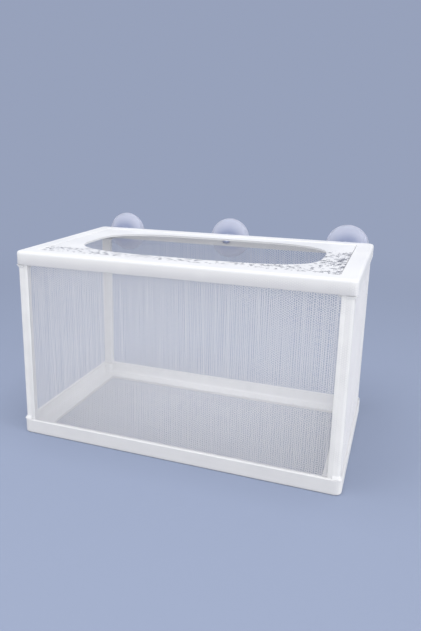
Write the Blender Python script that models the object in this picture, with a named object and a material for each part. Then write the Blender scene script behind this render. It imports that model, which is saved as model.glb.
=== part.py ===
"""Net breeding box for an aquarium.

A white top rim and a white base frame are joined by four corner posts. Five flat nets of
hexagonal gaps close the front, the back, both ends and the floor. A cover plate with a long
rounded opening drops into the top rim, and three clear suction cups stand behind it.

Lengths are in metres. The box stands on its base frame at z = 0, +X runs along its length,
its front faces -Y and its suction cups face +Y.
"""

import math

import bmesh
import bpy
from mathutils import Vector

# Whole box
BOX_LENGTH = 0.260
BOX_DEPTH = 0.150
BOX_HEIGHT = 0.155
CLEARANCE = 0.0003
OVERRUN = 0.002

# Walls and corners that the top rim and the base frame share
FRAME_CORNER_RADIUS = 0.005
FRAME_INNER_RADIUS = 0.0015
FRAME_WALL = 0.0036
FRAME_CHAMFER = 0.0004

# Top rim
RIM_BAND = 0.0107
RIM_TOP_RADIUS = 0.002
RIM_TOP_WIDTH = 0.013
SEAT_WIDTH = 0.0025
SEAT_THICKNESS = 0.0016

# Cover plate
COVER_THICKNESS = 0.0016
COVER_SINK = 0.0003
COVER_EDGE_RADIUS = 0.0005
OPENING_END_MARGIN = 0.0315
OPENING_SIDE_MARGIN = 0.0265
OPENING_SQUARENESS = 3.4
OPENING_EDGE_RADIUS = 0.0007

# Base frame
BASE_BAND = 0.0118
BASE_FOOT_RADIUS = 0.0015
FLANGE_WIDTH = 0.012
FLANGE_THICKNESS = 0.002
FLANGE_FILLET = 0.002
REBATE_WIDTH = 0.003

# Corner posts
POST_INSET = 0.0016
POST_WIDTH = 0.0086
POST_DEPTH = 0.0042
POST_CORNER_RADIUS = 0.002
FLARE_HEIGHT = 0.0025
FLARE_REACH = 0.0013
GUSSET_RADIUS = 0.004
TENON_LENGTH = 0.0045
TENON_WIDTH = 0.0032
TENON_DEPTH = 0.0015
TENON_RADIUS = 0.0003
NOTCH_WIDTH = 0.0009
NOTCH_HEIGHT = 0.0055
NOTCH_DEPTH = 0.0016

# Corner bosses that take the posts' tenons
BOSS_LENGTH = 0.0068
BOSS_DEPTH = 0.0052
BOSS_RADIUS = 0.002
BOSS_SETBACK = 0.0004
BOSS_BITE = 0.0004

# Nets
NET_THICKNESS = 0.0008
NET_SLOT_DEPTH = 0.0024
FRONT_NET_LAP = 0.003
END_NET_LAP = 0.0018
NET_BORDER = 0.001
GAP_PITCH = 0.0205
STRAND_WIDTH = 0.003

# Suction cups
CUP_RADIUS = 0.0185
CUP_LIP_WIDTH = 0.0013
CUP_REACH = 0.0095
CUP_INSET = 0.023
CUP_AXIS_DROP = 0.005
CUP_SKIN = 0.0011
HUB_RADIUS = 0.0055
HUB_LENGTH = 0.0018
HOLLOW_DEPTH = 0.0056
NECK_RADIUS = 0.0024
HEAD_RADIUS = 0.0035
HEAD_LENGTH = 0.0022
HEAD_CHAMFER = 0.0005

# Looks, as colour and roughness
WHITE = (0.87, 0.87, 0.86)
WHITE_ROUGHNESS = 0.38
NET_WHITE = (0.80, 0.80, 0.82)
NET_ROUGHNESS = 0.5
CLEAR = (0.72, 0.75, 0.86)
CLEAR_ROUGHNESS = 0.15
CLEAR_TRANSMISSION = 0.6

# Counts of flat steps in curved surfaces
CORNER_STEPS = 6
OPENING_STEPS = 15
EDGE_STEPS = 3
GUSSET_STEPS = 4
BELL_STEPS = 4
CUP_SIDES = 24
SMOOTH_ANGLE = math.radians(35)

# Places that follow from the sizes
RIM_BOTTOM = BOX_HEIGHT - RIM_BAND
SEAT_INSET = RIM_TOP_WIDTH + SEAT_WIDTH
COVER_TOP = BOX_HEIGHT - COVER_SINK
COVER_BOTTOM = COVER_TOP - COVER_THICKNESS
OPENING_HALF_LENGTH = BOX_LENGTH / 2 - OPENING_END_MARGIN
OPENING_HALF_WIDTH = BOX_DEPTH / 2 - OPENING_SIDE_MARGIN
SEAT_TOP = COVER_BOTTOM - CLEARANCE
SEAT_BOTTOM = SEAT_TOP - SEAT_THICKNESS
FLANGE_INSET = FRAME_WALL + FLANGE_WIDTH
REBATE_INSET = FLANGE_INSET - REBATE_WIDTH
REBATE_FLOOR = FLANGE_THICKNESS - NET_THICKNESS - CLEARANCE
NET_INSET = POST_INSET
SLOT_OUTER = NET_INSET - CLEARANCE
SLOT_INNER = NET_INSET + NET_THICKNESS + CLEARANCE
BASE_SLOT_FLOOR = BASE_BAND - NET_SLOT_DEPTH
RIM_SLOT_ROOF = RIM_BOTTOM + NET_SLOT_DEPTH
POST_BOTTOM = BASE_BAND + CLEARANCE
POST_TOP = RIM_BOTTOM - CLEARANCE
TENON_INSET_X = POST_INSET + (POST_WIDTH - TENON_WIDTH) / 2 + CLEARANCE
TENON_INSET_Y = FRAME_WALL + CLEARANCE + TENON_RADIUS
CUP_AXIS_HEIGHT = BOX_HEIGHT - CUP_AXIS_DROP
OUTER_CUP_X = BOX_LENGTH / 2 - CUP_INSET
CUP_PLACES = {"left": -OUTER_CUP_X, "centre": 0, "right": OUTER_CUP_X}
CORNERS = {
    "front_left": (-1, -1),
    "front_right": (1, -1),
    "back_left": (-1, 1),
    "back_right": (1, 1),
}


def clear_scene():
    for thing in list(bpy.data.objects):
        bpy.data.objects.remove(thing, do_unlink=True)


def material(name, colour, roughness, transmission=0.0):
    made = bpy.data.materials.new(name)
    made.use_nodes = True
    shader = made.node_tree.nodes["Principled BSDF"]
    shader.inputs["Base Color"].default_value = (*colour, 1.0)
    shader.inputs["Roughness"].default_value = roughness
    shader.inputs["Metallic"].default_value = 0.0
    shader.inputs["Transmission Weight"].default_value = transmission
    return made


def white_plastic(name):
    return material(name, WHITE, WHITE_ROUGHNESS)


def net_plastic(name):
    return material(name, NET_WHITE, NET_ROUGHNESS)


def clear_vinyl(name):
    return material(name, CLEAR, CLEAR_ROUGHNESS, CLEAR_TRANSMISSION)


def add_object(name, mesh, look, parent, location=(0, 0, 0), rotation=(0, 0, 0)):
    mesh.materials.append(look)
    mesh.shade_smooth()
    mesh.set_sharp_from_angle(angle=SMOOTH_ANGLE)
    made = bpy.data.objects.new(name, mesh)
    made.location = location
    made.rotation_euler = rotation
    made.parent = parent
    bpy.context.scene.collection.objects.link(made)
    return made


def add_tool(name, mesh, parent):
    """A cutter or an addition for a Boolean, which is no piece of the box itself."""
    made = bpy.data.objects.new(name, mesh)
    made.parent = parent
    made.hide_render = True
    made.display_type = "WIRE"
    bpy.context.scene.collection.objects.link(made)
    return made


def apply_tool(target, tool, operation):
    change = target.modifiers.new(tool.name, "BOOLEAN")
    change.operation = operation
    change.solver = "EXACT"
    change.object = tool


def finish_mesh(name, bm):
    bmesh.ops.recalc_face_normals(bm, faces=bm.faces[:])
    mesh = bpy.data.meshes.new(name)
    bm.to_mesh(mesh)
    bm.free()
    return mesh


def add_skin(bm, loops, cyclic=False):
    """Join equal loops of points by quads, as a closed ring or as a tube with two end faces."""
    rings = [[bm.verts.new(point) for point in loop] for loop in loops]
    pairs = list(zip(rings, rings[1:], strict=False))
    if cyclic:
        pairs.append((rings[-1], rings[0]))
    for lower, upper in pairs:
        for index in range(len(lower)):
            after = (index + 1) % len(lower)
            bm.faces.new((lower[index], lower[after], upper[after], upper[index]))
    if not cyclic:
        bm.faces.new(reversed(rings[0]))
        bm.faces.new(rings[-1])


def skin_mesh(name, loops, cyclic=False):
    bm = bmesh.new()
    add_skin(bm, loops, cyclic)
    return finish_mesh(name, bm)


def quarter_arc(centre_x, centre_y, radius, first_quarter, steps):
    """Points on a quarter circle that starts at a whole number of right angles."""
    points = []
    for step in range(steps + 1):
        angle = (first_quarter + step / steps) * math.pi / 2
        x = centre_x + radius * math.cos(angle)
        y = centre_y + radius * math.sin(angle)
        points.append((x, y))
    return points


def rounded_outline(half_x, half_y, radius, steps=CORNER_STEPS):
    """A rectangle about the origin with four round corners, anticlockwise."""
    inner_x = half_x - radius
    inner_y = half_y - radius
    places = ((inner_x, inner_y), (-inner_x, inner_y), (-inner_x, -inner_y), (inner_x, -inner_y))
    points = []
    for quarter, (x, y) in enumerate(places):
        points += quarter_arc(x, y, radius, quarter, steps)
    return points


def squarish_oval(half_x, half_y, squareness, steps):
    """An oval about the origin that is an ellipse at squareness 2 and squarer above, anticlockwise."""
    sides = 4 * (steps + 1)
    points = []
    for side in range(sides):
        angle = 2 * math.pi * (side + 1 / 2) / sides
        x = half_x * math.copysign(abs(math.cos(angle)) ** (2 / squareness), math.cos(angle))
        y = half_y * math.copysign(abs(math.sin(angle)) ** (2 / squareness), math.sin(angle))
        points.append((x, y))
    return points


def inset_loop(inset, z):
    """The box's outline drawn in by an inset, at a height."""
    radius = max(FRAME_CORNER_RADIUS - inset, FRAME_INNER_RADIUS)
    outline = rounded_outline(BOX_LENGTH / 2 - inset, BOX_DEPTH / 2 - inset, radius)
    return [(x, y, z) for x, y in outline]


def frame_mesh(name, profile):
    """A ring with the box's outline, whose section is a profile of insets and heights."""
    return skin_mesh(name, [inset_loop(inset, z) for inset, z in profile], cyclic=True)


def rim_profile():
    edge = quarter_arc(RIM_TOP_RADIUS, BOX_HEIGHT - RIM_TOP_RADIUS, RIM_TOP_RADIUS, 1, EDGE_STEPS)
    return [
        (SLOT_OUTER, RIM_BOTTOM),
        (FRAME_CHAMFER, RIM_BOTTOM),
        (0, RIM_BOTTOM + FRAME_CHAMFER),
        *reversed(edge),
        (RIM_TOP_WIDTH - FRAME_CHAMFER, BOX_HEIGHT),
        (RIM_TOP_WIDTH, BOX_HEIGHT - FRAME_CHAMFER),
        (RIM_TOP_WIDTH, SEAT_TOP),
        (SEAT_INSET, SEAT_TOP),
        (SEAT_INSET, SEAT_BOTTOM),
        (FRAME_WALL, SEAT_BOTTOM),
        (FRAME_WALL, RIM_BOTTOM),
        (SLOT_INNER, RIM_BOTTOM),
        (SLOT_INNER, RIM_SLOT_ROOF),
        (SLOT_OUTER, RIM_SLOT_ROOF),
    ]


def base_profile():
    foot = quarter_arc(BASE_FOOT_RADIUS, BASE_FOOT_RADIUS, BASE_FOOT_RADIUS, 2, EDGE_STEPS)
    fillet_x = FRAME_WALL + FLANGE_FILLET
    fillet_z = FLANGE_THICKNESS + FLANGE_FILLET
    fillet = quarter_arc(fillet_x, fillet_z, FLANGE_FILLET, 2, EDGE_STEPS)
    return [
        *reversed(foot),
        (0, BASE_BAND - FRAME_CHAMFER),
        (FRAME_CHAMFER, BASE_BAND),
        (SLOT_OUTER, BASE_BAND),
        (SLOT_OUTER, BASE_SLOT_FLOOR),
        (SLOT_INNER, BASE_SLOT_FLOOR),
        (SLOT_INNER, BASE_BAND),
        (FRAME_WALL, BASE_BAND),
        *fillet,
        (REBATE_INSET, FLANGE_THICKNESS),
        (REBATE_INSET, REBATE_FLOOR),
        (FLANGE_INSET, REBATE_FLOOR),
        (FLANGE_INSET, 0),
    ]


def place_in_corner(points, corner, z):
    """Insets from the two outer faces at a corner, as places at a height."""
    side_x, side_y = corner
    places = []
    for inset_x, inset_y in points:
        x = side_x * (BOX_LENGTH / 2 - inset_x)
        y = side_y * (BOX_DEPTH / 2 - inset_y)
        places.append((x, y, z))
    return places


def corner_outline(low_x, low_y, high_x, high_y, radius, round_outer):
    """A rectangle of insets whose outer or inner corner is round."""
    if round_outer:
        arc = quarter_arc(low_x + radius, low_y + radius, radius, 2, EDGE_STEPS)
        return [*arc, (high_x, low_y), (high_x, high_y), (low_x, high_y)]
    arc = quarter_arc(high_x - radius, high_y - radius, radius, 0, EDGE_STEPS)
    return [*arc, (low_x, high_y), (low_x, low_y), (high_x, low_y)]


def add_corner_block(bm, corner, outline, low_z, high_z):
    loops = [place_in_corner(outline, corner, low_z), place_in_corner(outline, corner, high_z)]
    add_skin(bm, loops)


def boss_outline():
    low = FRAME_WALL - BOSS_BITE
    return corner_outline(low, low, low + BOSS_LENGTH, low + BOSS_DEPTH, BOSS_RADIUS, False)


def tenon_outline(spare):
    low_x = TENON_INSET_X - spare
    low_y = TENON_INSET_Y - spare
    high_x = TENON_INSET_X + TENON_WIDTH + spare
    high_y = TENON_INSET_Y + TENON_DEPTH + spare
    return corner_outline(low_x, low_y, high_x, high_y, TENON_RADIUS, True)


def corner_blocks_mesh(name, outline, low_z, high_z):
    bm = bmesh.new()
    for corner in CORNERS.values():
        add_corner_block(bm, corner, outline, low_z, high_z)
    return finish_mesh(name, bm)


def circle(radius):
    points = []
    for side in range(CUP_SIDES):
        angle = 2 * math.pi * side / CUP_SIDES
        points.append((radius * math.cos(angle), radius * math.sin(angle)))
    return points


def turned_loops(profile, x=0, z=0):
    """Circles about an axis along Y, from radii and places along it."""
    return [[(x + u, y, z + v) for u, v in circle(radius)] for radius, y in profile]


def cup_seats_mesh():
    """Holes for the cups' necks through the rim's back wall, and pockets for their heads."""
    bm = bmesh.new()
    wall_face = BOX_DEPTH / 2 - FRAME_WALL
    pocket_floor = wall_face - HEAD_LENGTH - 2 * CLEARANCE
    profile = [
        (HEAD_RADIUS + CLEARANCE, pocket_floor),
        (HEAD_RADIUS + CLEARANCE, wall_face),
        (NECK_RADIUS + CLEARANCE, wall_face),
        (NECK_RADIUS + CLEARANCE, BOX_DEPTH / 2 + OVERRUN),
    ]
    for x in CUP_PLACES.values():
        add_skin(bm, turned_loops(profile, x, CUP_AXIS_HEIGHT))
    return finish_mesh("cup_seats", bm)


def make_top_rim(parent):
    rim = add_object("top_rim", frame_mesh("top_rim", rim_profile()), white_plastic("rim_white"), parent)
    low = RIM_BOTTOM + BOSS_SETBACK
    bosses = corner_blocks_mesh("rim_bosses", boss_outline(), low, SEAT_BOTTOM + BOSS_BITE)
    apply_tool(rim, add_tool("rim_bosses", bosses, parent), "UNION")
    roof = POST_TOP + TENON_LENGTH + CLEARANCE
    sockets = corner_blocks_mesh("rim_sockets", tenon_outline(CLEARANCE), RIM_BOTTOM - OVERRUN, roof)
    apply_tool(rim, add_tool("rim_sockets", sockets, parent), "DIFFERENCE")
    apply_tool(rim, add_tool("cup_seats", cup_seats_mesh(), parent), "DIFFERENCE")


def make_base_frame(parent):
    mesh = frame_mesh("base_frame", base_profile())
    base = add_object("base_frame", mesh, white_plastic("base_white"), parent)
    low = FLANGE_THICKNESS - BOSS_BITE
    bosses = corner_blocks_mesh("base_bosses", boss_outline(), low, BASE_BAND - BOSS_SETBACK)
    apply_tool(base, add_tool("base_bosses", bosses, parent), "UNION")
    floor = POST_BOTTOM - TENON_LENGTH - CLEARANCE
    sockets = corner_blocks_mesh("base_sockets", tenon_outline(CLEARANCE), floor, BASE_BAND + OVERRUN)
    apply_tool(base, add_tool("base_sockets", sockets, parent), "DIFFERENCE")


def cover_loops():
    """The plate's outer edge from its underside up, then the opening's edge back down."""
    inset = RIM_TOP_WIDTH + CLEARANCE
    corner = FRAME_INNER_RADIUS - CLEARANCE
    edge_z = COVER_TOP - COVER_EDGE_RADIUS
    edge = quarter_arc(COVER_EDGE_RADIUS, edge_z, COVER_EDGE_RADIUS, 1, EDGE_STEPS)
    loops = []
    for draw_in, z in [(0, COVER_BOTTOM), *reversed(edge)]:
        half_x = BOX_LENGTH / 2 - inset - draw_in
        half_y = BOX_DEPTH / 2 - inset - draw_in
        outline = rounded_outline(half_x, half_y, corner - draw_in, OPENING_STEPS)
        loops.append([(x, y, z) for x, y in outline])
    lip_z = COVER_TOP - OPENING_EDGE_RADIUS
    lip = quarter_arc(OPENING_EDGE_RADIUS, lip_z, OPENING_EDGE_RADIUS, 1, EDGE_STEPS)
    for widen, z in [*lip, (0, COVER_BOTTOM)]:
        half_x = OPENING_HALF_LENGTH + OPENING_EDGE_RADIUS - widen
        half_y = OPENING_HALF_WIDTH + OPENING_EDGE_RADIUS - widen
        outline = squarish_oval(half_x, half_y, OPENING_SQUARENESS, OPENING_STEPS)
        loops.append([(x, y, z) for x, y in outline])
    return loops


def make_cover(parent):
    """The plate that drops into the rim, with its long oval opening."""
    mesh = skin_mesh("top_cover", cover_loops(), cyclic=True)
    add_object("top_cover", mesh, white_plastic("cover_white"), parent)


def gusset_inset(rise):
    """How far the post's inner side reaches out at a height above its end."""
    left = max(GUSSET_RADIUS - rise, 0)
    return GUSSET_RADIUS - math.sqrt(GUSSET_RADIUS * GUSSET_RADIUS - left * left)


def post_section(rise):
    """The post's outline of insets at a height above its end, flared outwards and gusseted."""
    flare = FLARE_REACH * max(FLARE_HEIGHT - rise, 0) / FLARE_HEIGHT
    low = POST_INSET - flare
    high_x = POST_INSET + POST_WIDTH + gusset_inset(rise)
    high_y = POST_INSET + POST_DEPTH
    return corner_outline(low, low, high_x, high_y, POST_CORNER_RADIUS, True)


def post_rises():
    """Heights above a post's end where its section is drawn."""
    angles = [step / GUSSET_STEPS * math.pi / 2 for step in range(GUSSET_STEPS + 1)]
    rises = [GUSSET_RADIUS * (1 - math.cos(angle)) for angle in angles]
    return sorted([*rises, FLARE_HEIGHT])


def post_loops(corner):
    loops = [place_in_corner(tenon_outline(0), corner, POST_BOTTOM - TENON_LENGTH)]
    loops.append(place_in_corner(tenon_outline(0), corner, POST_BOTTOM))
    rises = post_rises()
    loops += [place_in_corner(post_section(rise), corner, POST_BOTTOM + rise) for rise in rises]
    loops += [place_in_corner(post_section(rise), corner, POST_TOP - rise) for rise in reversed(rises)]
    loops.append(place_in_corner(tenon_outline(0), corner, POST_TOP))
    loops.append(place_in_corner(tenon_outline(0), corner, POST_TOP + TENON_LENGTH))
    return loops


def rectangle(low_x, low_y, high_x, high_y):
    return [(low_x, low_y), (high_x, low_y), (high_x, high_y), (low_x, high_y)]


def post_cuts(corner):
    """Rebates that take the hems of the two nets, and the notch under the rim."""
    low_z = POST_BOTTOM - OVERRUN
    high_z = POST_TOP + OVERRUN
    outside = POST_INSET - FLARE_REACH - OVERRUN
    front_start = POST_INSET + POST_WIDTH - FRONT_NET_LAP - CLEARANCE
    reach_x = POST_INSET + POST_WIDTH + GUSSET_RADIUS + OVERRUN
    end_start = POST_INSET + POST_DEPTH - END_NET_LAP - CLEARANCE
    reach_y = POST_INSET + POST_DEPTH + OVERRUN
    notch_start = end_start - NOTCH_WIDTH
    notch_end = end_start + CLEARANCE
    outlines = {
        "front_rebate": (rectangle(front_start, outside, reach_x, SLOT_INNER), low_z),
        "end_rebate": (rectangle(outside, end_start, SLOT_INNER, reach_y), low_z),
        "notch": (
            rectangle(outside, notch_start, POST_INSET + NOTCH_DEPTH, notch_end),
            POST_TOP - NOTCH_HEIGHT,
        ),
    }
    meshes = {}
    for name, (outline, low) in outlines.items():
        bm = bmesh.new()
        add_corner_block(bm, corner, outline, low, high_z)
        meshes[name] = finish_mesh(name, bm)
    return meshes


def make_posts(parent):
    for place, corner in CORNERS.items():
        name = f"post_{place}"
        look = white_plastic(f"{name}_white")
        post = add_object(name, skin_mesh(name, post_loops(corner)), look, parent)
        for cut, mesh in post_cuts(corner).items():
            apply_tool(post, add_tool(f"{name}_{cut}", mesh, parent), "DIFFERENCE")


def spread(length, gap, pitch):
    """How many gaps fit in a length, and the step that spreads them over the whole of it."""
    count = int((length - gap) / pitch) + 1
    return count, (length - gap) / max(count - 1, 1)


def gap_centres(width, height):
    """Centres of staggered hexagonal gaps that fill a width and a height about the origin."""
    flats = GAP_PITCH - STRAND_WIDTH
    columns, column_step = spread(width, flats, GAP_PITCH)
    rows, row_step = spread(height, 2 * flats / math.sqrt(3), GAP_PITCH * math.sqrt(3) / 2)
    centres = []
    for row in range(rows):
        count = columns - row % 2
        v = (row - (rows - 1) / 2) * row_step
        for column in range(count):
            centres.append(((column - (count - 1) / 2) * column_step, v))
    return centres


def gap_outline(centre):
    radius = (GAP_PITCH - STRAND_WIDTH) / math.sqrt(3)
    points = []
    for side in range(6):
        angle = (side + 1 / 2) * math.pi / 3
        u = centre[0] + radius * math.cos(angle)
        v = centre[1] + radius * math.sin(angle)
        points.append((u, v))
    return points


def add_outline_edges(bm, outline):
    corners = [bm.verts.new((u, v, 0)) for u, v in outline]
    for index, corner in enumerate(corners):
        bm.edges.new((corner, corners[(index + 1) % len(corners)]))


def net_mesh(name, outline, gap_width, gap_height):
    """A flat sheet with hexagonal gaps, which its Solidify modifier makes thick."""
    bm = bmesh.new()
    add_outline_edges(bm, outline)
    for centre in gap_centres(gap_width, gap_height):
        add_outline_edges(bm, gap_outline(centre))
    bmesh.ops.triangle_fill(bm, use_beauty=True, edges=bm.edges[:])
    return finish_mesh(name, bm)


def add_net(name, outline, gap_width, gap_height, parent, location, rotation):
    mesh = net_mesh(name, outline, gap_width, gap_height)
    net = add_object(name, mesh, net_plastic(f"{name}_white"), parent, location, rotation)
    thicken = net.modifiers.new("thickness", "SOLIDIFY")
    thicken.thickness = NET_THICKNESS
    thicken.offset = 0
    return net


def make_wall_nets(parent):
    low = BASE_SLOT_FLOOR + CLEARANCE
    high = RIM_SLOT_ROOF - CLEARANCE
    middle = (low + high) / 2
    half_height = (high - low) / 2
    gap_height = 2 * min(middle - BASE_BAND, RIM_BOTTOM - middle) - 2 * NET_BORDER
    depth = NET_INSET + NET_THICKNESS / 2
    half_front = BOX_LENGTH / 2 - POST_INSET - POST_WIDTH
    half_end = BOX_DEPTH / 2 - POST_INSET - POST_DEPTH
    front_x = half_front + FRONT_NET_LAP
    end_y = half_end + END_NET_LAP
    front = rectangle(-front_x, -half_height, front_x, half_height)
    end = rectangle(-end_y, -half_height, end_y, half_height)
    quarter = math.pi / 2
    front_gaps = 2 * half_front - 2 * NET_BORDER
    end_gaps = 2 * half_end - 2 * NET_BORDER
    y = BOX_DEPTH / 2 - depth
    x = BOX_LENGTH / 2 - depth
    add_net("net_front", front, front_gaps, gap_height, parent, (0, -y, middle), (quarter, 0, 0))
    add_net("net_back", front, front_gaps, gap_height, parent, (0, y, middle), (quarter, 0, 0))
    add_net("net_left", end, end_gaps, gap_height, parent, (-x, 0, middle), (quarter, 0, quarter))
    add_net("net_right", end, end_gaps, gap_height, parent, (x, 0, middle), (quarter, 0, quarter))


def make_floor_net(parent):
    inset = REBATE_INSET + CLEARANCE
    half_x = BOX_LENGTH / 2 - inset
    half_y = BOX_DEPTH / 2 - inset
    outline = rounded_outline(half_x, half_y, FRAME_INNER_RADIUS - CLEARANCE)
    gap_width = BOX_LENGTH - 2 * FLANGE_INSET - 2 * NET_BORDER
    gap_height = BOX_DEPTH - 2 * FLANGE_INSET - 2 * NET_BORDER
    z = REBATE_FLOOR + CLEARANCE + NET_THICKNESS / 2
    add_net("net_floor", outline, gap_width, gap_height, parent, (0, 0, z), (0, 0, 0))


def bell_points(first_radius, last_radius, first_y, last_y):
    """A flared curve that leaves the hub square to the axis and steepens to the lip."""
    points = []
    for step in range(BELL_STEPS + 1):
        share = step / BELL_STEPS
        radius = first_radius + (last_radius - first_radius) * math.sin(share * math.pi / 2)
        y = last_y + (first_y - last_y) * math.cos(share * math.pi / 2)
        points.append((radius, y))
    return points


def cup_profile():
    """Radii and places along the cup's axis, from its head to the floor of its hollow."""
    head_back = -FRAME_WALL - CLEARANCE
    head_front = head_back - HEAD_LENGTH
    hub_end = CLEARANCE + HUB_LENGTH
    lip_inner = CUP_RADIUS - CUP_LIP_WIDTH
    hollow_floor = CUP_REACH - HOLLOW_DEPTH
    outside = bell_points(HUB_RADIUS, CUP_RADIUS, hub_end, CUP_REACH - CUP_SKIN)
    inside = bell_points(HEAD_RADIUS, lip_inner, hollow_floor, CUP_REACH)
    return [
        (HEAD_RADIUS - HEAD_CHAMFER, head_front),
        (HEAD_RADIUS, head_front + HEAD_CHAMFER),
        (HEAD_RADIUS, head_back),
        (NECK_RADIUS, head_back),
        (NECK_RADIUS, CLEARANCE),
        (HUB_RADIUS, CLEARANCE),
        *outside,
        (CUP_RADIUS, CUP_REACH),
        *reversed(inside),
    ]


def make_cups(parent):
    for place, x in CUP_PLACES.items():
        name = f"suction_cup_{place}"
        mesh = skin_mesh(name, turned_loops(cup_profile()))
        location = (x, BOX_DEPTH / 2, CUP_AXIS_HEIGHT)
        add_object(name, mesh, clear_vinyl(f"{name}_clear"), parent, location)


def main():
    clear_scene()
    box = bpy.data.objects.new("breeding_box", None)
    box.location = Vector((0, -CUP_REACH / 2, 0))
    bpy.context.scene.collection.objects.link(box)
    make_top_rim(box)
    make_base_frame(box)
    make_posts(box)
    make_wall_nets(box)
    make_floor_net(box)
    make_cover(box)
    make_cups(box)


main()
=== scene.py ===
"""Looks of the net breeding box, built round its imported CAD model.

Lengths are in metres, in the model's own frame: +X along the box, its front towards -Y, +Z up.
The CAD nets become fine real nets with hems, the suction cups become smooth clear ones, and the
white mouldings keep their CAD shapes under a moulded plastic material.
"""

import math

import bmesh
import bpy
import numpy as np
from mathutils import Euler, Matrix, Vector


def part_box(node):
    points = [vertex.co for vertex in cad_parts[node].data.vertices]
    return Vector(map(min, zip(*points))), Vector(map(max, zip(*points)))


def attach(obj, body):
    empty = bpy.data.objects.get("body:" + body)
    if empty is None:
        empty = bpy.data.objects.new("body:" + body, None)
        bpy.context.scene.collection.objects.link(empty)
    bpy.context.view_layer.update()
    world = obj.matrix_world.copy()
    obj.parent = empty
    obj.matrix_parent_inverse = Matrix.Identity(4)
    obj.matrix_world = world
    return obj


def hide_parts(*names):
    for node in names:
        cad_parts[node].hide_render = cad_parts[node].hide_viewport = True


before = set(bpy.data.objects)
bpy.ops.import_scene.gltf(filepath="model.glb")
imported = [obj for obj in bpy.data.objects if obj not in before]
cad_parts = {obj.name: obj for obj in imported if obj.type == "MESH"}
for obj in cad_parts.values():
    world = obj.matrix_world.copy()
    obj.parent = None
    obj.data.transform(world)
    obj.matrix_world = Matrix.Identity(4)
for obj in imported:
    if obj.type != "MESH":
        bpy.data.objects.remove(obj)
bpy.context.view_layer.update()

# The photograph's frame and the camera that was fitted to it
PHOTO_WIDTH_PX = 421
PHOTO_HEIGHT_PX = 631
FOCAL_LENGTH_PX = 606.2
CENTRE_X_PX = 168.53
CENTRE_Y_PX = 293.66
CAMERA_PLACE = (0.15474, -0.47107, 0.24225)
CAMERA_TURN_DEGREES = (75.499, -0.31, 21.61)
SENSOR_MM = 36

# The real net
PITCH = 0.0017
THREAD_WIDTH = 0.00036
THREAD_THICKNESS = 0.0003
NET_WAVE = 0.00025
COLUMN_DRIFT = 0.00028
COARSE_WAVES = 610
FINE_WAVES = 1430
ROW_WAVES = 420
SHORTEST_SHARE = 0.02
HEM_BEVEL = 0.00004
HEM_SHARP_DEGREES = 40
FIT = 0.00001
SLOT_WIDTH = 0.0014
SLOT_LIP = 0.00006
FRONT_LAP = 0.003
END_LAP = 0.0018
FLOOR_LAP = 0.003
POST_GAP = 0.0003

# Suction cups
CUP_SIDES = 96
CUP_REACH = 0.0095
BELL_STEPS = 16
HOLLOW_STEPS = 14
CUP_SHARP_DEGREES = 50
TIP_RADIUS = 0.0006
HEAD_RADIUS = 0.0035
HEAD_LENGTH = 0.0022
NECK_RADIUS = 0.0024
HUB_RADIUS = 0.0055
HUB_LENGTH = 0.0019
HUB_EDGE = 0.0005
HOLLOW_DEPTH = 0.0056
LIP_WIDTH = 0.0013
LIP_THICKNESS = 0.0011
LIP_EDGE = 0.0003
HAIR = 0.0001
# The outer ring is less clear and lighter, partly a painted rim highlight
MILKY_HIGHLIGHT_RING = (0.005, 0.0155)
MILKY_HUB = (0.0065, 0.004)
VINYL = (0.80, 0.82, 0.93)
MILKY_AND_HIGHLIGHT_VINYL = (0.84, 0.85, 0.93)

# White plastic. Noise scales are per metre.
WHITE_LOW = (0.835, 0.835, 0.85)
WHITE_HIGH = (0.885, 0.885, 0.88)
GRAIN_SCALE = 1400
GRAIN_HEIGHT = 0.00008
GLOW_SHARE = 0.06
GLOW_DEPTH = (0.002, 0.002, 0.0022)
# Painted shade in the grooves of the pressed net pattern
IMPRINT_GROOVE_SHADE = (0.60, 0.60, 0.64)
IMPRINT_SHARE = 0.35
IMPRINT_EDGE_SHARES = (0.3, 0.46)
# Painted shade: the outward front faces of the rim and base are painted greyer, the rim's band more so
# towards its bottom
BAND_PAINTED_SHADE = (0.62, 0.62, 0.645)
BASE_BAND_SHADE_SHARE = 0.5
FRONT_DEPTH = 0.005
FRONT_TURN = (-0.97, -0.45)
SHADE_BELOW = 0.002
SHADE_SHORT = 0.001

# Painted shade in the slot at the head of each post, measured from the box's outer faces and the rim's
# lower edge
SLOT_PAINTED_SHADE = (0.06, 0.06, 0.07)
SLOT_INSETS = (0.0019, 0.0035)
SLOT_EDGES = (0.0027, 0.0041)
SLOT_DROP = 0.006

# The cover's white film, and the dark specks, painted shade in its dimples, in front of its opening and to
# the right of it
FILM_LOW = (0.84, 0.84, 0.85)
FILM_HIGH = (0.885, 0.885, 0.885)
FILM_GRAIN_SCALE = 900
SPECK_PAINTED_SHADE = (0.03, 0.032, 0.06)
SPECK_SHARE = 0.97
SPECK_SCALE = 330
SPECK_STRETCH = (0.8, 1.0, 1)
CLUSTER_SCALE = 70
SPECK_FRONT = (-0.036, -0.046)
SPECK_FRONT_SHARE = 0.86
SPECK_RIGHT = (0.088, 0.100)
SPECK_BACK = (0.034, 0.014)
SPECK_SEAM = (0.106, 0.114)
SPECK_LEVEL = 0.60
ZONE_DROP = 0.08
SEAM_DROP = 0.06
SPECK_EDGE = 0.012

# Net threads
THREAD_LOW = (0.80, 0.80, 0.85)
THREAD_HIGH = (0.88, 0.88, 0.90)
THREAD_GLEAM = (0.92, 0.92, 0.93)
THREAD_GRAIN_SCALE = 2600
THREAD_GRAIN_HEIGHT = 0.00002

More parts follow.
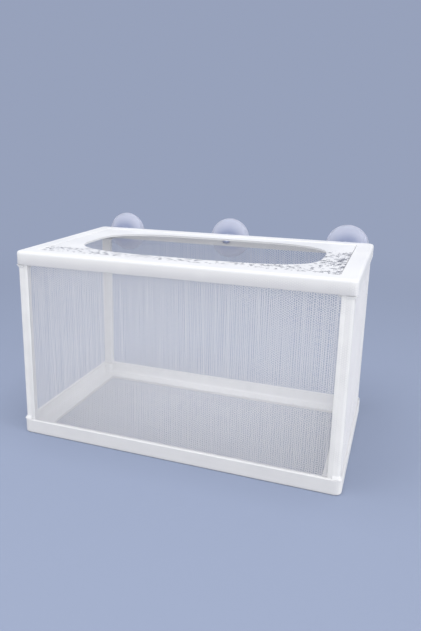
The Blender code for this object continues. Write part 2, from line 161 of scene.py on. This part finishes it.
# The studio. Each lamp has a name, a place, what it aims at, a size and its watts.
FLOOR_GREY = (0.55, 0.56, 0.58)
FLOOR_BLUE = (0.31, 0.36, 0.49)
FLOOR_FADE = (0.25, 0.9)
FLOOR_SIZE = 6
BACKDROP_BLUE = (0.31, 0.36, 0.50)
WORLD_WHITE = (0.95, 0.96, 1.0)
WORLD_LIGHT = 0.7
LAMPS = (
    ("key", (0.0, -0.2, 1.05), (0, 0, 0.08), 0.7, 4.8),
    ("right", (1.8, -0.4, 0.50), (0, 0, 0.08), 0.8, 11),
    ("fill", (-0.9, -0.8, 0.6), (0, 0, 0.08), 0.9, 2.0),
    ("front", (0.1, -1.3, 0.30), (0, 0, 0.06), 0.8, 2.0),
)

BOX_BODY = "box"
MIDDLE_Y = (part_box("top_rim")[0].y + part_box("top_rim")[1].y) / 2
RIM_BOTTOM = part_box("top_rim")[0].z
RIM_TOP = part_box("top_rim")[1].z
BASE_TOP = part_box("base_frame")[1].z
FRONT_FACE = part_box("top_rim")[0].y
BOX_HALF_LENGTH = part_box("top_rim")[1].x
BOX_HALF_DEPTH = (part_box("top_rim")[1].y - FRONT_FACE) / 2


# Shader nodes


def new_material(name):
    made = bpy.data.materials.new(name)
    made.use_nodes = True
    return made, made.node_tree, made.node_tree.nodes["Principled BSDF"]


def feed(tree, socket, value):
    """Links a socket to another, or sets its value."""
    if isinstance(value, bpy.types.NodeSocket):
        tree.links.new(value, socket)
    else:
        socket.default_value = value


def math_node(tree, operation, *values):
    node = tree.nodes.new("ShaderNodeMath")
    node.operation = operation
    for socket, value in zip(node.inputs, values, strict=False):
        feed(tree, socket, value)
    return node.outputs[0]


def product(tree, first, *others):
    for other in others:
        first = math_node(tree, "MULTIPLY", first, other)
    return first


def length_of(tree, first, second):
    squares = [math_node(tree, "POWER", value, 2) for value in (first, second)]
    return math_node(tree, "SQRT", math_node(tree, "ADD", *squares))


def ramp_between(tree, value, low, high, to_low=0.0, to_high=1.0):
    """Goes smoothly from one value to another as the input goes from low to high."""
    node = tree.nodes.new("ShaderNodeMapRange")
    node.interpolation_type = "SMOOTHSTEP"
    numbers = {"Value": value, "From Min": low, "From Max": high, "To Min": to_low, "To Max": to_high}
    for name, number in numbers.items():
        feed(tree, node.inputs[name], number)
    return node.outputs["Result"]


def noise(tree, coordinates, scale, detail=2.0, stretch=None):
    if stretch is not None:
        mapping = tree.nodes.new("ShaderNodeMapping")
        tree.links.new(coordinates, mapping.inputs["Vector"])
        mapping.inputs["Scale"].default_value = stretch
        coordinates = mapping.outputs["Vector"]
    node = tree.nodes.new("ShaderNodeTexNoise")
    tree.links.new(coordinates, node.inputs["Vector"])
    node.inputs["Scale"].default_value = scale
    node.inputs["Detail"].default_value = detail
    return node.outputs["Fac"]


def mix_colours(tree, share, first, second):
    node = tree.nodes.new("ShaderNodeMix")
    node.data_type = "RGBA"
    feed(tree, node.inputs["Factor"], share)
    for name, colour in (("A", first), ("B", second)):
        socket = next(s for s in node.inputs if s.name == name and s.type == "RGBA")
        feed(tree, socket, (*colour, 1.0) if isinstance(colour, tuple) else colour)
    return next(s for s in node.outputs if s.type == "RGBA")


def add_bump(tree, shader, height, distance, strength=1.0):
    node = tree.nodes.new("ShaderNodeBump")
    node.inputs["Strength"].default_value = strength
    node.inputs["Distance"].default_value = distance
    tree.links.new(height, node.inputs["Height"])
    tree.links.new(node.outputs["Normal"], shader.inputs["Normal"])


def object_coordinates(tree):
    node = tree.nodes.new("ShaderNodeTexCoord")
    return node.outputs["Object"]


def split(tree, vector):
    node = tree.nodes.new("ShaderNodeSeparateXYZ")
    tree.links.new(vector, node.inputs[0])
    return node.outputs


def pick(tree, share, first, second):
    """The first value where share is 0, the second where it is 1."""
    node = tree.nodes.new("ShaderNodeMix")
    node.data_type = "FLOAT"
    for socket, value in zip((node.inputs[0], node.inputs[2], node.inputs[3]), (share, first, second)):
        feed(tree, socket, value)
    return node.outputs[0]


def face_coordinates(tree):
    """Two coordinates that lie in the face, whichever way it looks."""
    x, y, z = split(tree, object_coordinates(tree))
    geometry = tree.nodes.new("ShaderNodeNewGeometry")
    nx, _, nz = split(tree, geometry.outputs["Normal"])
    looks_up = math_node(tree, "GREATER_THAN", math_node(tree, "ABSOLUTE", nz), 0.7)
    looks_along = math_node(tree, "GREATER_THAN", math_node(tree, "ABSOLUTE", nx), 0.7)
    u = pick(tree, looks_along, x, y)
    v = pick(tree, looks_up, z, y)
    return u, v, looks_up


def hex_distance(tree, u, v):
    """How far a point is from the middle of its net cell, up to half the pitch."""
    half_wide = PITCH * math.sqrt(3) / 2
    half_high = PITCH / 2
    distances = []
    for shift in (0, 1):
        x = math_node(tree, "ADD", u, shift * half_wide)
        y = math_node(tree, "ADD", v, shift * half_high)
        x = math_node(tree, "ABSOLUTE", math_node(tree, "WRAP", x, half_wide, -half_wide))
        y = math_node(tree, "ABSOLUTE", math_node(tree, "WRAP", y, half_high, -half_high))
        slant = math_node(tree, "ADD", product(tree, y, 1 / 2), product(tree, x, math.sqrt(3) / 2))
        distances.append(math_node(tree, "MAXIMUM", y, slant))
    return math_node(tree, "MINIMUM", *distances)


def imprint(tree, mask):
    """The pattern that the net leaves pressed in the plastic, where the mask lets it show; its grooves also
    carry painted shade.
    """
    u, v, _ = face_coordinates(tree)
    low, high = IMPRINT_EDGE_SHARES
    thread = ramp_between(tree, hex_distance(tree, u, v), PITCH * low, PITCH * high)
    return product(tree, thread, mask)


def let_light_in(shader):
    """A little light goes into the plastic and comes out near by."""
    shader.inputs["Subsurface Weight"].default_value = GLOW_SHARE
    shader.inputs["Subsurface Radius"].default_value = GLOW_DEPTH
    shader.inputs["Subsurface Scale"].default_value = 1.0


def moulded_white(name, mask_maker, painted_shade_maker, shade):
    """Satin white plastic with a fine grain, the net's pattern pressed into it here and there with painted
    shade in its grooves, and painted shade where the given shade mask is high.
    """
    made, tree, shader = new_material(name)
    coordinates = object_coordinates(tree)
    cloud = noise(tree, coordinates, 24, 3)
    grain = noise(tree, coordinates, GRAIN_SCALE)
    pressed = imprint(tree, mask_maker(tree, coordinates))
    colour = mix_colours(tree, cloud, WHITE_LOW, WHITE_HIGH)
    # Painted shade where the shade mask is high
    colour = mix_colours(tree, painted_shade_maker(tree, coordinates), colour, shade)
    # Painted shade in the grooves of the pressed net pattern
    colour = mix_colours(tree, product(tree, pressed, IMPRINT_SHARE), colour, IMPRINT_GROOVE_SHADE)
    tree.links.new(colour, shader.inputs["Base Color"])
    tree.links.new(ramp_between(tree, cloud, 0.3, 0.7, 0.34, 0.46), shader.inputs["Roughness"])
    height = math_node(tree, "SUBTRACT", product(tree, grain, 0.25), pressed)
    add_bump(tree, shader, height, GRAIN_HEIGHT, 0.6)
    let_light_in(shader)
    return made


def slot_painted_shade(tree, coordinates):
    """1 in the slot at the head of each post, where shade is painted dark since no light comes back."""
    x, y, z = split(tree, coordinates)
    from_end = math_node(tree, "SUBTRACT", BOX_HALF_LENGTH, math_node(tree, "ABSOLUTE", x))
    off_middle = math_node(tree, "ABSOLUTE", math_node(tree, "SUBTRACT", y, MIDDLE_Y))
    from_side = math_node(tree, "SUBTRACT", BOX_HALF_DEPTH, off_middle)
    tests = []
    for value, (low, high) in ((from_end, SLOT_INSETS), (from_side, SLOT_EDGES)):
        tests.append(math_node(tree, "GREATER_THAN", value, low))
        tests.append(math_node(tree, "LESS_THAN", value, high))
    tests.append(math_node(tree, "GREATER_THAN", z, RIM_BOTTOM - SLOT_DROP))
    return product(tree, *tests)


def outside_of_front(tree, coordinates):
    """1 on the outer face of the front, going to 0 round its upright edges."""
    _, y, _ = split(tree, coordinates)
    geometry = tree.nodes.new("ShaderNodeNewGeometry")
    _, ny, _ = split(tree, geometry.outputs["Normal"])
    turned = ramp_between(tree, ny, *FRONT_TURN, 1.0, 0.0)
    return product(tree, turned, math_node(tree, "LESS_THAN", y, FRONT_FACE + FRONT_DEPTH))


def rim_painted_shade(tree, coordinates):
    """Painted shade on the rim's outer front face, darker towards the bottom of the band."""
    _, _, z = split(tree, coordinates)
    low = ramp_between(tree, z, RIM_BOTTOM - SHADE_BELOW, RIM_TOP - SHADE_SHORT, 1.0, 0.0)
    return product(tree, low, outside_of_front(tree, coordinates))


# Painted shade, even over the base's outer front face
def base_painted_shade(tree, coordinates):
    return product(tree, outside_of_front(tree, coordinates), BASE_BAND_SHADE_SHARE)


def rim_mask(tree, coordinates):
    _, _, z = split(tree, coordinates)
    low = ramp_between(tree, z, RIM_BOTTOM + 0.004, RIM_BOTTOM + 0.009, 1.0, 0.0)
    return product(tree, low, ramp_between(tree, noise(tree, coordinates, 60), 0.25, 0.55))


def base_mask(tree, coordinates):
    _, _, z = split(tree, coordinates)
    high = ramp_between(tree, z, 0.002, 0.006)
    return product(tree, high, ramp_between(tree, noise(tree, coordinates, 60), 0.4, 0.7))


def post_mask(tree, coordinates):
    return ramp_between(tree, noise(tree, coordinates, 80), 0.35, 0.6)


def speck_shade_mask(tree, coordinates):
    """1 in the dark specks of the cover's film, painted shade in its dimples, 0 elsewhere."""
    x, y, _ = split(tree, coordinates)
    u, v, looks_up = face_coordinates(tree)
    low, high = IMPRINT_EDGE_SHARES
    hole = ramp_between(tree, hex_distance(tree, u, v), PITCH * high, PITCH * low)
    patches = noise(tree, coordinates, SPECK_SCALE, 2, SPECK_STRETCH)
    clusters = ramp_between(tree, noise(tree, coordinates, CLUSTER_SCALE), 0.40, 0.58)
    from_middle = math_node(tree, "SUBTRACT", y, MIDDLE_Y)
    front = ramp_between(tree, from_middle, *SPECK_FRONT)
    right = product(tree, ramp_between(tree, x, *SPECK_RIGHT), ramp_between(tree, from_middle, *SPECK_BACK))
    zone = math_node(tree, "MAXIMUM", product(tree, front, SPECK_FRONT_SHARE), right)
    at_seam = ramp_between(tree, x, *SPECK_SEAM)
    level = math_node(tree, "SUBTRACT", SPECK_LEVEL, product(tree, zone, clusters, ZONE_DROP))
    level = math_node(tree, "SUBTRACT", level, product(tree, at_seam, right, SEAM_DROP))
    shown = ramp_between(tree, math_node(tree, "SUBTRACT", patches, level), 0.0, SPECK_EDGE)
    return product(tree, shown, zone, pick(tree, 1 / 2, hole, 1.0), looks_up)


def cover_white():
    """The cover: white film pressed with the net's cells in front and at the right, their dimples painted
    dark in specks as shade.
    """
    made, tree, shader = new_material("cover_white_film")
    coordinates = object_coordinates(tree)
    speck_dimples_and_shade = speck_shade_mask(tree, coordinates)
    cloud = noise(tree, coordinates, 30, 3)
    colour = mix_colours(tree, cloud, FILM_LOW, FILM_HIGH)
    # Painted shade in the dark specks of the dimples
    colour = mix_colours(tree, product(tree, speck_dimples_and_shade, SPECK_SHARE), colour, SPECK_PAINTED_SHADE)
    tree.links.new(colour, shader.inputs["Base Color"])
    tree.links.new(ramp_between(tree, cloud, 0.3, 0.7, 0.30, 0.42), shader.inputs["Roughness"])
    grain = noise(tree, coordinates, FILM_GRAIN_SCALE)
    add_bump(tree, shader, math_node(tree, "SUBTRACT", product(tree, grain, 0.2), speck_dimples_and_shade), GRAIN_HEIGHT, 0.6)
    let_light_in(shader)
    return made


def net_threads_material():
    made, tree, shader = new_material("net_thread")
    coordinates = object_coordinates(tree)
    cloud = noise(tree, coordinates, 45, 3)
    fine = noise(tree, coordinates, THREAD_GRAIN_SCALE, 1)
    colour = mix_colours(tree, cloud, THREAD_LOW, THREAD_HIGH)
    colour = mix_colours(tree, product(tree, fine, 0.2), colour, THREAD_GLEAM)
    tree.links.new(colour, shader.inputs["Base Color"])
    tree.links.new(ramp_between(tree, fine, 0.3, 0.7, 0.35, 0.55), shader.inputs["Roughness"])
    add_bump(tree, shader, fine, THREAD_GRAIN_HEIGHT, 0.4)
    return made


def clear_vinyl():
    """Soft clear vinyl, a little milky about its hub, and less clear and lighter in its outer ring, which
    is partly a painted rim highlight.
    """
    made, tree, shader = new_material("clear_vinyl_moulded")
    coordinates = object_coordinates(tree)
    x, _, z = split(tree, coordinates)
    away = length_of(tree, x, z)
    hub = ramp_between(tree, away, *MILKY_HUB)
    # Lighter, less clear outer ring, partly a painted rim highlight, and a milky hub
    milky_and_highlight = math_node(tree, "MAXIMUM", ramp_between(tree, away, *MILKY_HIGHLIGHT_RING), product(tree, hub, 0.25))
    cloud = noise(tree, coordinates, 180, 3)
    tree.links.new(ramp_between(tree, cloud, 0.3, 0.7, 0.30, 0.42), shader.inputs["Roughness"])
    tree.links.new(mix_colours(tree, milky_and_highlight, VINYL, MILKY_AND_HIGHLIGHT_VINYL), shader.inputs["Base Color"])
    clearest = ramp_between(tree, cloud, 0.3, 0.7, 0.90, 0.95)
    clear = math_node(tree, "SUBTRACT", clearest, product(tree, milky_and_highlight, 0.25))
    tree.links.new(clear, shader.inputs["Transmission Weight"])
    shader.inputs["IOR"].default_value = 1.15
    shader.inputs["Specular IOR Level"].default_value = 0.3
    add_bump(tree, shader, cloud, HAIR, 0.2)
    return made


def seen_rays(tree):
    """1 on rays from the camera and on those that gloss and clear plastic send on."""
    path = tree.nodes.new("ShaderNodeLightPath")
    seen = math_node(tree, "MAXIMUM", path.outputs["Is Camera Ray"], path.outputs["Is Glossy Ray"])
    return math_node(tree, "MAXIMUM", seen, path.outputs["Is Transmission Ray"])


def floor_material():
    """Pale blue-grey where it is seen, a neutral grey for the light that it throws back."""
    made, tree, shader = new_material("pale_floor")
    seen = seen_rays(tree)
    tree.links.new(mix_colours(tree, seen, FLOOR_GREY, FLOOR_BLUE), shader.inputs["Base Color"])
    shader.inputs["Roughness"].default_value = 0.7
    shader.inputs["Specular IOR Level"].default_value = 0.1
    x, y, _ = split(tree, object_coordinates(tree))
    far = ramp_between(tree, length_of(tree, x, y), *FLOOR_FADE)
    glow = tree.nodes.new("ShaderNodeEmission")
    glow.inputs["Color"].default_value = (*BACKDROP_BLUE, 1.0)
    mixed = tree.nodes.new("ShaderNodeMixShader")
    feed(tree, mixed.inputs[0], product(tree, far, seen))
    tree.links.new(shader.outputs[0], mixed.inputs[1])
    tree.links.new(glow.outputs[0], mixed.inputs[2])
    tree.links.new(mixed.outputs[0], tree.nodes["Material Output"].inputs["Surface"])
    return made


# Meshes


def add_mesh(name, vertices, faces, look, smooth=True):
    mesh = bpy.data.meshes.new(name)
    mesh.vertices.add(len(vertices))
    mesh.vertices.foreach_set("co", np.asarray(vertices, np.float32).ravel())
    faces = np.asarray(faces, np.int32)
    mesh.loops.add(faces.size)
    mesh.loops.foreach_set("vertex_index", faces.ravel())
    mesh.polygons.add(len(faces))
    mesh.polygons.foreach_set("loop_start", np.arange(0, faces.size, faces.shape[1], dtype=np.int32))
    mesh.update(calc_edges=True)
    mesh.validate()
    if smooth:
        mesh.shade_smooth()
    made = bpy.data.objects.new(name, mesh)
    mesh.materials.append(look)
    bpy.context.scene.collection.objects.link(made)
    return made


def net_lines(width, height):
    """Ends of all the threads of a honeycomb that fills a rectangle about the origin."""
    side = PITCH / math.sqrt(3)
    columns = int(width / (1.5 * side) / 2) + 2
    rows = int(height / PITCH / 2) + 2
    i, j = np.meshgrid(np.arange(-columns, columns + 1), np.arange(-rows, rows + 1), indexing="ij")
    u = 1.5 * side * i
    v = PITCH * (j + 0.5 * (i % 2))
    corners = [(-side / 2, PITCH / 2), (side / 2, PITCH / 2), (side, 0), (side / 2, -PITCH / 2)]
    lines = []
    for (au, av), (bu, bv) in zip(corners, corners[1:], strict=False):
        lines.append(np.stack([u + au, v + av, u + bu, v + bv], axis=-1).reshape(-1, 4))
    return clip_lines(np.concatenate(lines), width / 2, height / 2)


def clip_lines(lines, half_width, half_height):
    """The lines' parts inside a rectangle about the origin."""
    start = lines[:, :2]
    step = lines[:, 2:] - start
    enter = np.zeros(len(lines))
    leave = np.ones(len(lines))
    for axis, half in ((0, half_width), (1, half_height)):
        along = step[:, axis]
        flat = np.abs(along) < PITCH / 1000
        safe = np.where(flat, 1, along)
        first = (-half - start[:, axis]) / safe
        last = (half - start[:, axis]) / safe
        outside = flat & (np.abs(start[:, axis]) > half)
        enter = np.where(flat, enter, np.maximum(enter, np.minimum(first, last)))
        leave = np.where(flat, leave, np.minimum(leave, np.maximum(first, last)))
        leave = np.where(outside, -1, leave)
    kept = leave - enter > SHORTEST_SHARE
    a = start[kept] + step[kept] * enter[kept, None]
    b = start[kept] + step[kept] * leave[kept, None]
    return a, b


def drift(points, phase):
    """Small uneven shifts that a stretched net has, in its own plane."""
    u, v = points[:, 0], points[:, 1]
    coarse = np.sin(u * COARSE_WAVES + phase)
    fine = np.sin(u * FINE_WAVES + 2.1 * phase + 6 * np.sin(v * 9))
    shift_u = COLUMN_DRIFT * (coarse + 0.7 * fine)
    shift_v = COLUMN_DRIFT / 2 * np.sin(v * ROW_WAVES + u * 60 + phase)
    return np.stack([u + shift_u, v + shift_v], axis=1)


def wave(points, phase):
    """How far the net stands out of its plane."""
    u, v = points[:, 0], points[:, 1]
    return NET_WAVE * np.sin(u * 95 + 3 * np.sin(v * 30 + phase)) * np.sin(v * 70 + phase)


def thread_mesh(name, width, height, place, look, phase):
    """A fine honeycomb net of diamond-shaped threads. place turns (u, v, out) into the frame."""
    ends = [drift(points, phase) for points in net_lines(width, height)]
    ends = [np.clip(points, (-width / 2, -height / 2), (width / 2, height / 2)) for points in ends]
    along = ends[1] - ends[0]
    length = np.linalg.norm(along, axis=1, keepdims=True)
    along = along / np.maximum(length, PITCH / 1000)
    across = np.stack([-along[:, 1], along[:, 0]], axis=1) * THREAD_WIDTH / 2
    rings = []
    for points, back in ((ends[0], -1), (ends[1], 1)):
        points = points + along * back * THREAD_WIDTH / 4
        out = wave(points, phase)
        for side, rise in ((1, 0), (0, 1), (-1, 0), (0, -1)):
            flat = points + across * side
            rings.append(np.column_stack([flat, out + rise * THREAD_THICKNESS / 2]))
    count = len(along)
    vertices = place(np.stack(rings, axis=1).reshape(-1, 3))
    quads = np.array([(k, (k + 1) % 4, 4 + (k + 1) % 4, 4 + k) for k in range(4)])
    faces = (np.arange(count)[:, None, None] * 8 + quads[None]).reshape(-1, 4)
    return add_mesh(name, vertices, faces, look)


def strips_mesh(name, strips, look):
    """Slim blocks joined in one piece, each from its lowest to its highest corner."""
    bm = bmesh.new()
    for low, high in strips:
        low, high = Vector(low), Vector(high)
        made = bmesh.ops.create_cube(bm, size=1)["verts"]
        for vertex in made:
            share = vertex.co + Vector((0.5, 0.5, 0.5))
            vertex.co = Vector(low[k] + (high[k] - low[k]) * share[k] for k in range(3))
    bmesh.ops.bevel(bm, geom=bm.edges[:], offset=HEM_BEVEL, segments=2, profile=0.5, affect="EDGES")
    mesh = bpy.data.meshes.new(name)
    bm.to_mesh(mesh)
    bm.free()
    mesh.shade_smooth()
    mesh.set_sharp_from_angle(angle=math.radians(HEM_SHARP_DEGREES))
    mesh.materials.append(look)
    made = bpy.data.objects.new(name, mesh)
    bpy.context.scene.collection.objects.link(made)
    return made


def lathe_mesh(name, profile, x, z, look):
    """A body turned about an axis along Y, from radii and places on the axis."""
    angles = np.arange(CUP_SIDES) * 2 * math.pi / CUP_SIDES
    vertices = []
    for radius, y in profile:
        ring = np.column_stack([radius * np.cos(angles), np.full(CUP_SIDES, y), radius * np.sin(angles)])
        vertices.append(ring)
    faces = []
    for ring in range(len(profile) - 1):
        first = ring * CUP_SIDES
        for k in range(CUP_SIDES):
            after = first + (k + 1) % CUP_SIDES
            faces.append((first + k, after, after + CUP_SIDES, first + k + CUP_SIDES))
    made = add_mesh(name, np.concatenate(vertices), faces, look)
    bm = bmesh.new()
    bm.from_mesh(made.data)
    bmesh.ops.holes_fill(bm, edges=bm.edges[:], sides=CUP_SIDES)
    bmesh.ops.recalc_face_normals(bm, faces=bm.faces[:])
    bm.to_mesh(made.data)
    bm.free()
    made.data.shade_smooth()
    made.data.set_sharp_from_angle(angle=math.radians(CUP_SHARP_DEGREES))
    made.location = (x, 0, z)
    return made


# The nets


def make_wall_net(node, along_x, lap, phase, looks):
    """One wall's fine net, with its side hems over the posts and its edges in the frames' slots."""
    low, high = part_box(node)
    axis, normal = (0, 1) if along_x else (1, 0)
    middle = (low[axis] + high[axis]) / 2
    half = (high[axis] - low[axis]) / 2 - lap
    plane = (low[normal] + high[normal]) / 2
    level = (BASE_TOP + RIM_BOTTOM) / 2
    tall = RIM_BOTTOM - BASE_TOP

    def place(points):
        made = np.empty_like(points)
        made[:, axis] = middle + points[:, 0]
        made[:, normal] = plane + points[:, 2]
        made[:, 2] = level + points[:, 1]
        return made

    net = thread_mesh(f"fine_{node}", 2 * half, tall + PITCH, place, looks["net"], phase)
    hem = make_wall_hem(node, axis, normal, lap, looks["frame"])
    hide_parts(node)
    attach(net, BOX_BODY)
    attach(hem, BOX_BODY)


def make_wall_hem(node, axis, normal, lap, look):
    low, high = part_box(node)
    plane = (low[normal] + high[normal]) / 2
    middle = MIDDLE_Y if normal == 1 else 0
    outward = 1 if plane > middle else -1
    thin = (high[normal] - low[normal]) / 2
    inner = plane - outward * (SLOT_WIDTH / 2 - FIT)
    outer_side = plane + outward * thin
    outer_slot = plane + outward * (SLOT_WIDTH / 2 - FIT)
    reach = POST_GAP - FIT
    strips = []

    def strip(along_low, along_high, z_low, z_high, outer):
        corner_low, corner_high = [0, 0, z_low], [0, 0, z_high]
        corner_low[axis], corner_high[axis] = along_low, along_high
        corner_low[normal], corner_high[normal] = min(inner, outer), max(inner, outer)
        strips.append((corner_low, corner_high))

    strip(low[axis] - reach, low[axis] + lap, BASE_TOP, RIM_BOTTOM, outer_side)
    strip(high[axis] - lap, high[axis] + reach, BASE_TOP, RIM_BOTTOM, outer_side)
    strip(low[axis], high[axis], low[2], BASE_TOP + SLOT_LIP, outer_slot)
    strip(low[axis], high[axis], RIM_BOTTOM - SLOT_LIP, high[2], outer_slot)
    return strips_mesh(f"hem_{node}", strips, look)


def make_floor_net(looks):
    low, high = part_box("net_floor")
    middle = (low + high) / 2
    half_x = (high.x - low.x) / 2 + POST_GAP - FLOOR_LAP
    half_y = (high.y - low.y) / 2 + POST_GAP - FLOOR_LAP
    level = middle.z

    def place(points):
        return points + np.array([middle.x, middle.y, level])

    net = thread_mesh("fine_net_floor", 2 * half_x, 2 * half_y, place, looks["net"], 2.4)
    reach = POST_GAP - FIT
    x0, x1, y0, y1 = low.x - reach, high.x + reach, low.y - reach, high.y + reach
    z0, z1 = low.z, high.z
    strips = [
        ((x0, y0, z0), (x0 + FLOOR_LAP, y1, z1)),
        ((x1 - FLOOR_LAP, y0, z0), (x1, y1, z1)),
        ((x0 + FLOOR_LAP, y0, z0), (x1 - FLOOR_LAP, y0 + FLOOR_LAP, z1)),
        ((x0 + FLOOR_LAP, y1 - FLOOR_LAP, z0), (x1 - FLOOR_LAP, y1, z1)),
    ]
    hem = strips_mesh("hem_net_floor", strips, looks["frame"])
    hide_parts("net_floor")
    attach(net, BOX_BODY)
    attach(hem, BOX_BODY)


def make_nets(looks):
    make_wall_net("net_front", True, FRONT_LAP, 0.4, looks)
    make_wall_net("net_back", True, FRONT_LAP, 1.9, looks)
    make_wall_net("net_left", False, END_LAP, 3.1, looks)
    make_wall_net("net_right", False, END_LAP, 4.6, looks)
    make_floor_net(looks)


# The suction cups


def arc(first, last, count):
    """Points of a quarter ellipse that leaves the first point square to the axis."""
    points = []
    for step in range(count + 1):
        angle = step / count * math.pi / 2
        radius = first[0] + (last[0] - first[0]) * math.sin(angle)
        points.append((radius, last[1] + (first[1] - last[1]) * math.cos(angle)))
    return points


def cup_profile(lip, low_y, face_y):
    """Radii and places along Y, from the head inside the rim to the middle of the hollow."""
    back = face_y - CUP_REACH
    hub_end = back + HUB_LENGTH
    bell_start = (HUB_RADIUS + HUB_EDGE, hub_end + 2 * HAIR)
    bell_end = (lip - 4 * HAIR, face_y - LIP_THICKNESS - HUB_EDGE)
    hollow_floor = (HEAD_RADIUS, face_y - HOLLOW_DEPTH)
    hollow_rim = (lip - LIP_WIDTH - HAIR, face_y - 2 * HAIR)
    return [
        (TIP_RADIUS, low_y),
        (HEAD_RADIUS - HUB_EDGE, low_y),
        (HEAD_RADIUS - HAIR, low_y + LIP_EDGE),
        (HEAD_RADIUS, low_y + 3 * LIP_EDGE),
        (HEAD_RADIUS, low_y + HEAD_LENGTH - HAIR),
        (NECK_RADIUS, low_y + HEAD_LENGTH + HAIR),
        (NECK_RADIUS, back + LIP_EDGE),
        (HUB_RADIUS - HUB_EDGE, back + LIP_EDGE),
        (HUB_RADIUS, back + LIP_EDGE + HUB_EDGE),
        (HUB_RADIUS, hub_end),
        *arc(bell_start, bell_end, BELL_STEPS),
        (lip, face_y - LIP_THICKNESS),
        (lip, face_y - LIP_EDGE),
        (lip - LIP_EDGE, face_y),
        (lip - LIP_WIDTH + HAIR, face_y),
        *reversed(arc(hollow_floor, hollow_rim, HOLLOW_STEPS)),
        (TIP_RADIUS, face_y - HOLLOW_DEPTH - HAIR),
    ]


def make_cups(look):
    for side in ("left", "centre", "right"):
        low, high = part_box(f"suction_cup_{side}")
        middle = (low + high) / 2
        profile = cup_profile((high.x - low.x) / 2, low.y, high.y)
        cup = lathe_mesh(f"clear_cup_{side}", profile, middle.x, middle.z, look)
        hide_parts(f"suction_cup_{side}")
        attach(cup, f"cup_{side}")


# The white mouldings


def paint(node, look):
    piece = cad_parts[node]
    piece.data.materials.clear()
    piece.data.materials.append(look)


def paint_frame():
    # Painted shade on the rim's and base's outer front faces, and in the posts' slots
    paint("top_rim", moulded_white("rim_moulded", rim_mask, rim_painted_shade, BAND_PAINTED_SHADE))
    paint("base_frame", moulded_white("base_moulded", base_mask, base_painted_shade, BAND_PAINTED_SHADE))
    post = moulded_white("post_moulded", post_mask, slot_painted_shade, SLOT_PAINTED_SHADE)
    for corner in ("front_left", "front_right", "back_left", "back_right"):
        paint(f"post_{corner}", post)
    paint("top_cover", cover_white())
    return post


# The studio


def add_floor():
    mesh = bpy.data.meshes.new("floor")
    bm = bmesh.new()
    bmesh.ops.create_grid(bm, x_segments=1, y_segments=1, size=FLOOR_SIZE)
    bm.to_mesh(mesh)
    bm.free()
    mesh.materials.append(floor_material())
    floor = bpy.data.objects.new("floor", mesh)
    bpy.context.scene.collection.objects.link(floor)


def add_lamp(name, place, aim, size, watts):
    data = bpy.data.lights.new(name, "AREA")
    data.energy = watts
    data.size = size
    lamp = bpy.data.objects.new(name, data)
    lamp.location = place
    lamp.rotation_euler = (Vector(aim) - Vector(place)).to_track_quat("-Z", "Y").to_euler()
    bpy.context.scene.collection.objects.link(lamp)


def add_world():
    world = bpy.data.worlds.new("studio")
    world.use_nodes = True
    tree = world.node_tree
    background = tree.nodes["Background"]
    seen = seen_rays(tree)
    tree.links.new(mix_colours(tree, seen, WORLD_WHITE, BACKDROP_BLUE), background.inputs["Color"])
    tree.links.new(pick(tree, seen, WORLD_LIGHT, 1.0), background.inputs["Strength"])
    bpy.context.scene.world = world


def add_camera():
    data = bpy.data.cameras.new("camera")
    data.sensor_fit = "AUTO"
    data.sensor_width = SENSOR_MM
    data.lens = FOCAL_LENGTH_PX / PHOTO_HEIGHT_PX * SENSOR_MM
    data.shift_x = (PHOTO_WIDTH_PX / 2 - CENTRE_X_PX) / PHOTO_HEIGHT_PX
    data.shift_y = (CENTRE_Y_PX - PHOTO_HEIGHT_PX / 2) / PHOTO_HEIGHT_PX
    data.clip_start = 0.01
    camera = bpy.data.objects.new("camera", data)
    camera.location = CAMERA_PLACE
    camera.rotation_euler = Euler([math.radians(angle) for angle in CAMERA_TURN_DEGREES])
    bpy.context.scene.collection.objects.link(camera)
    bpy.context.scene.camera = camera


def main():
    frame_look = paint_frame()
    make_nets({"net": net_threads_material(), "frame": frame_look})
    make_cups(clear_vinyl())
    add_floor()
    for lamp in LAMPS:
        add_lamp(*lamp)
    add_world()
    add_camera()
    bpy.context.scene.view_settings.view_transform = "Standard"


main()
